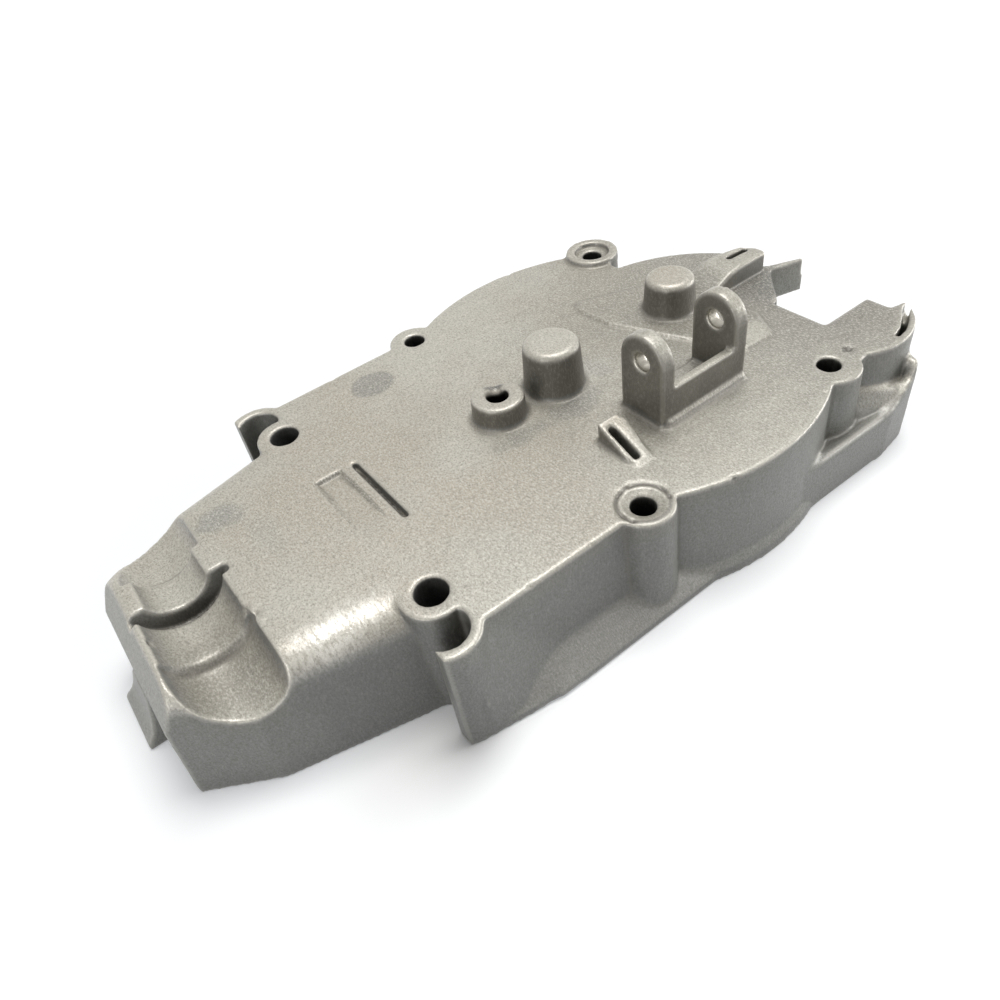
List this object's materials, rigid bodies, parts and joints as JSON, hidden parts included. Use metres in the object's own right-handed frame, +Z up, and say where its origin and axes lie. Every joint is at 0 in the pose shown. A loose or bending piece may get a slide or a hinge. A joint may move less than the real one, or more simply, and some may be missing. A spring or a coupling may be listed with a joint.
{
  "type": "gear case cover",
  "caption": "Die cast gear case cover with a round gear housing, tapered motor end, stepped trough, lever clevis, bearing caps and a forked end.",
  "frame": {"origin": "on the gasket face, midway between the two middle cover screw holes", "axes": "+X from the motor end to the fork end, +Y across the cover to the side away from the lever clevis, +Z up through the flat top face"},
  "size_m": [0.1617, 0.088, 0.0398],
  "materials": {
    "cast": "as cast, matt, tumbled"
  },
  "bodies": {
    "root": {"gear_case_cover": "cast"}
  },
  "joints": []
}
